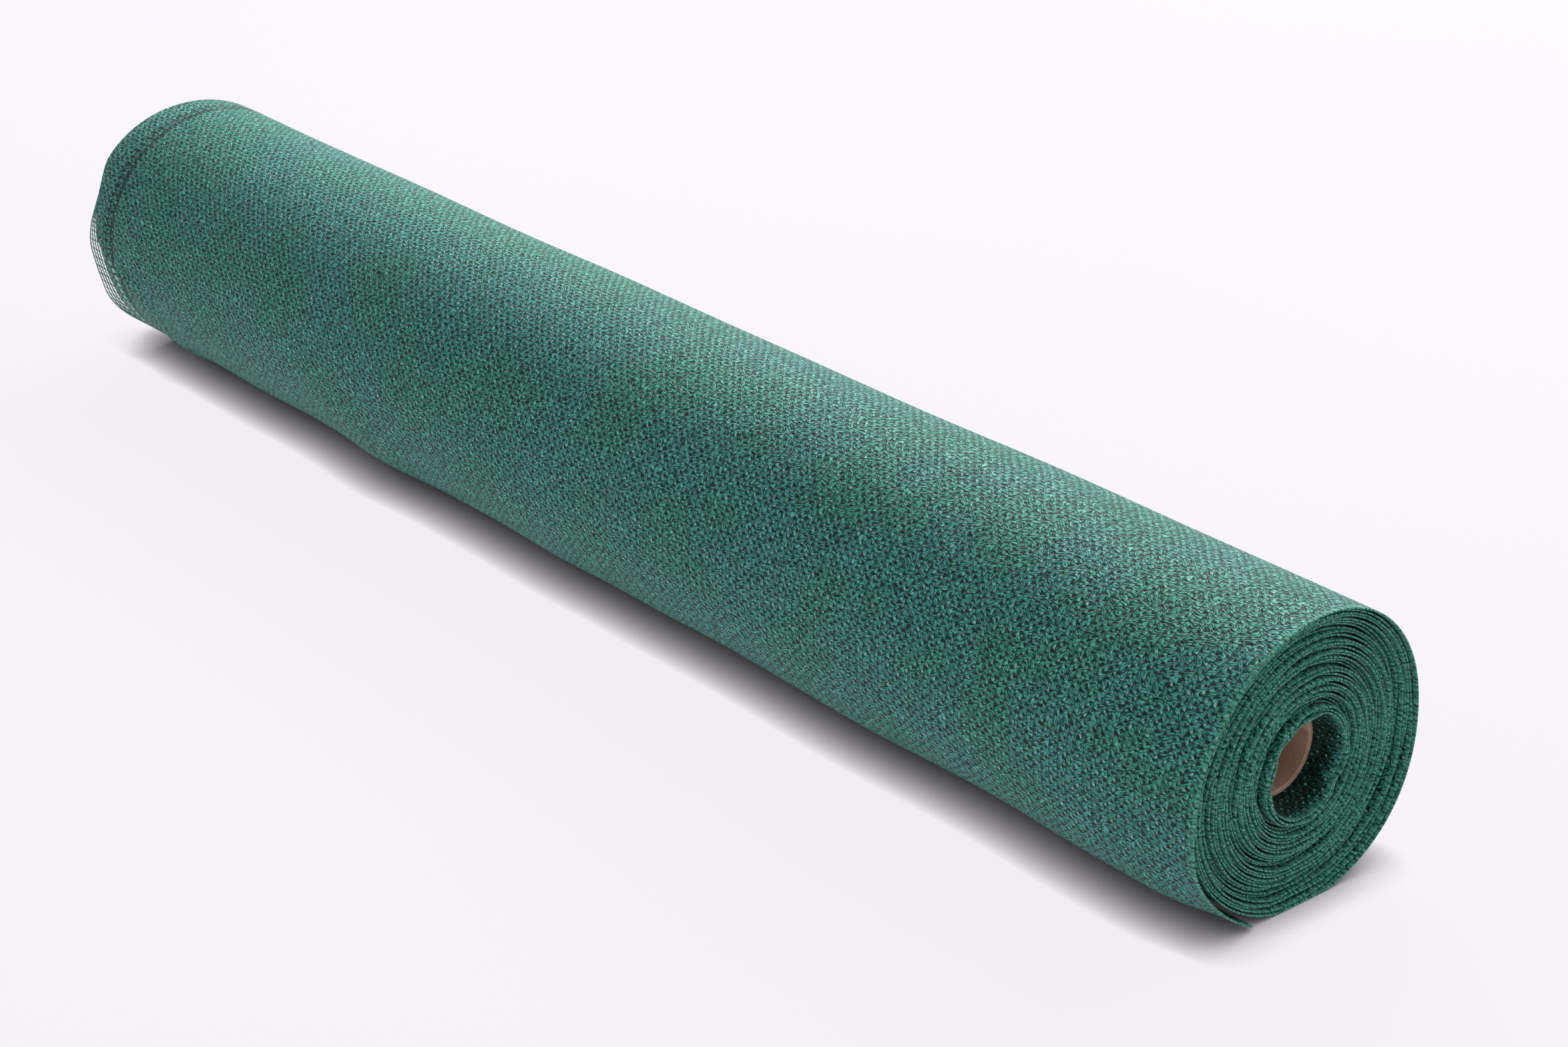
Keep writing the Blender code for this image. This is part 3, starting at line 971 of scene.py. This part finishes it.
    # Relief: laps stand up, knots more, and pockets and lines sink
    height = add_node(tree, "ShaderNodeMath", {0: lap, 1: 0.45}, operation="MULTIPLY").outputs[0]
    height = add_node(
        tree, "ShaderNodeMath", {0: wale_line, 1: -0.5, 2: height}, operation="MULTIPLY_ADD"
    ).outputs[0]
    height = add_node(
        tree, "ShaderNodeMath", {0: pocket, 1: -0.9, 2: height}, operation="MULTIPLY_ADD"
    ).outputs[0]
    height = add_node(
        tree, "ShaderNodeMath", {0: knot, 1: 0.6, 2: height}, operation="MULTIPLY_ADD"
    ).outputs[0]
    height = add_node(
        tree, "ShaderNodeMath", {0: groove, 1: -1.2, 2: height}, operation="MULTIPLY_ADD"
    ).outputs[0]
    relief = add_node(
        tree, "ShaderNodeBump", {"Strength": 1.0, "Distance": 0.6 * MM, "Height": height}
    ).outputs[0]
    roughness = add_node(
        tree, "ShaderNodeMapRange",
        {"Value": lap, "From Min": 0.0, "From Max": 1.0, "To Min": 0.62, "To Max": 0.42},
    ).outputs[0]
    cloth = add_node(tree, "ShaderNodeBsdfPrincipled", {
        "Base Color": colour,
        "Roughness": roughness,
        "IOR": 1.5,
        "Specular IOR Level": 0.14,
        "Normal": relief,
        "Sheen Weight": 0.1,
        "Sheen Roughness": 0.4,
        "Sheen Tint": linear("#cfe8de"),
    })
    tree.links.new(cloth.outputs[0], surface)
    return material


def make_selvage_thread():
    """Bare polyethylene tape, twisted to a thread: paler and glossier than the knit."""
    material, tree, surface = new_material("twisted_polyethylene_thread")
    place = add_node(tree, "ShaderNodeTexCoord", {}).outputs["Object"]
    turns = add_node(
        tree, "ShaderNodeTexNoise", {"Vector": place, "Scale": 1 / (1.5 * MM), "Detail": 2.0}
    ).outputs["Fac"]
    colour = add_node(
        tree, "ShaderNodeMix", {0: turns, 6: linear("#1d5243"), 7: linear("#5d9d89")},
        data_type="RGBA",
    ).outputs[2]
    thread = add_node(tree, "ShaderNodeBsdfPrincipled", {
        "Base Color": colour,
        "Roughness": 0.35,
        "IOR": 1.5,
    })
    tree.links.new(thread.outputs[0], surface)
    return material


def make_kraft_board():
    """Spirally wound kraft board: matte brown and fibrous."""
    material, tree, surface = new_material("kraft_board")
    place = add_node(tree, "ShaderNodeTexCoord", {}).outputs["Object"]
    fibres = add_node(
        tree, "ShaderNodeTexNoise", {"Vector": place, "Scale": 1 / (1.2 * MM), "Detail": 4.0}
    ).outputs["Fac"]
    cloud = add_node(
        tree, "ShaderNodeTexNoise", {"Vector": place, "Scale": 1 / (14 * MM), "Detail": 2.0}
    ).outputs["Fac"]
    colour = add_node(
        tree, "ShaderNodeMix", {0: cloud, 6: linear("#ab866e"), 7: linear("#cdaa91")},
        data_type="RGBA",
    ).outputs[2]
    colour = add_node(
        tree, "ShaderNodeMix", {0: 0.25, 6: colour, 7: fibres}, data_type="RGBA",
        blend_type="OVERLAY",
    ).outputs[2]
    relief = add_node(
        tree, "ShaderNodeBump", {"Strength": 0.5, "Distance": 0.15 * MM, "Height": fibres}
    ).outputs[0]
    board = add_node(tree, "ShaderNodeBsdfPrincipled", {
        "Base Color": colour,
        "Roughness": 0.9,
        "IOR": 1.45,
        "Normal": relief,
    })
    tree.links.new(board.outputs[0], surface)
    return material


def make_opal_table():
    """Opal acrylic lit from below: even, nearly white, with faint soft shadows, and a painted shadow
    where its glow is darkened close to the roll.
    """
    material, tree, surface = new_material("opal_acrylic")
    place = add_node(tree, "ShaderNodeTexCoord", {}).outputs["Object"]
    cloud = add_node(
        tree, "ShaderNodeTexNoise", {"Vector": place, "Scale": 1.2, "Detail": 1.0}
    ).outputs["Fac"]
    glow = add_node(
        tree, "ShaderNodeMix", {0: cloud, 6: linear("#eee9ef"), 7: linear("#f0ecf2")},
        data_type="RGBA",
    ).outputs[2]
    # Painted shadow: the glow is darkened close to the roll by ambient occlusion
    painted_shadow_factor = add_node(
        tree, "ShaderNodeAmbientOcclusion", {"Distance": 24 * MM}, samples=8
    ).outputs["AO"]
    painted_shadow_factor = add_node(
        tree, "ShaderNodeMath", {0: painted_shadow_factor, 1: 1.6}, operation="POWER"
    ).outputs[0]
    glow = add_node(
        tree, "ShaderNodeVectorMath", {0: glow, "Scale": painted_shadow_factor}, operation="SCALE"
    ).outputs[0]
    table = add_node(tree, "ShaderNodeBsdfPrincipled", {
        "Base Color": linear("#363537"),
        "Roughness": 0.9,
        "Specular IOR Level": 0.1,
        "Emission Color": glow,
        "Emission Strength": 1.0,
    })
    tree.links.new(table.outputs[0], surface)
    return material


# The studio

CAMERA_PLACE = Vector((1.26487, -1.00648, 0.80724))
CAMERA_AIM = Vector((-0.67785, 0.59104, -0.43726))
LENS = 75.6
FLOOR_SIZE = 14


def build_floor():
    """The pale floor that the roll lies on."""
    floor_mesh = bmesh.new()
    bmesh.ops.create_grid(floor_mesh, x_segments=1, y_segments=1, size=FLOOR_SIZE / 2)
    floor = finish_piece(floor_mesh, "studio_floor", make_opal_table())


def add_softbox(name, place, aim, size, power, colour):
    """A large soft light that faces a point."""
    data = bpy.data.lights.new(name, "AREA")
    data.shape = "RECTANGLE"
    data.size, data.size_y = size
    data.energy = power
    data.color = linear(colour)[:3]
    light = bpy.data.objects.new(name, data)
    light.location = place
    light.rotation_euler = (Vector(aim) - Vector(place)).to_track_quat("-Z", "Y").to_euler()
    bpy.context.collection.objects.link(light)


def light_studio():
    """Even white light all round, with a large softbox high up behind."""
    add_softbox(
        "back_softbox", place=(-0.75, 1.95, 1.75), aim=(-0.05, 0, 0), size=(3.2, 1.2),
        power=140, colour="#ffffff",
    )
    world = bpy.data.worlds.new("studio")
    world.use_nodes = True
    background = world.node_tree.nodes["Background"]
    background.inputs["Color"].default_value = linear("#f4f5fa")
    background.inputs["Strength"].default_value = 0.72
    bpy.context.scene.world = world


def place_camera():
    """The camera at the photograph's angle."""
    data = bpy.data.cameras.new("camera")
    data.lens = LENS
    data.sensor_width = 36
    data.clip_start = 0.05
    camera = bpy.data.objects.new("camera", data)
    camera.location = CAMERA_PLACE
    camera.rotation_euler = CAMERA_AIM.to_track_quat("-Z", "Y").to_euler()
    bpy.context.collection.objects.link(camera)
    bpy.context.scene.camera = camera


def build_part():
    """The cloth, its selvage threads and the core."""
    knitted_tape = make_knitted_tape()
    cloth = build_shade_cloth(knitted_tape)
    threads = build_selvage_threads(make_selvage_thread())
    core = build_cardboard_core(make_kraft_board())
    for piece in (cloth, threads, core):
        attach(piece, "root")
    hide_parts("roll", "loose_end")
    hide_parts("core")


place_camera()
build_part()
build_floor()
light_studio()
bpy.context.scene.view_settings.view_transform = "Standard"
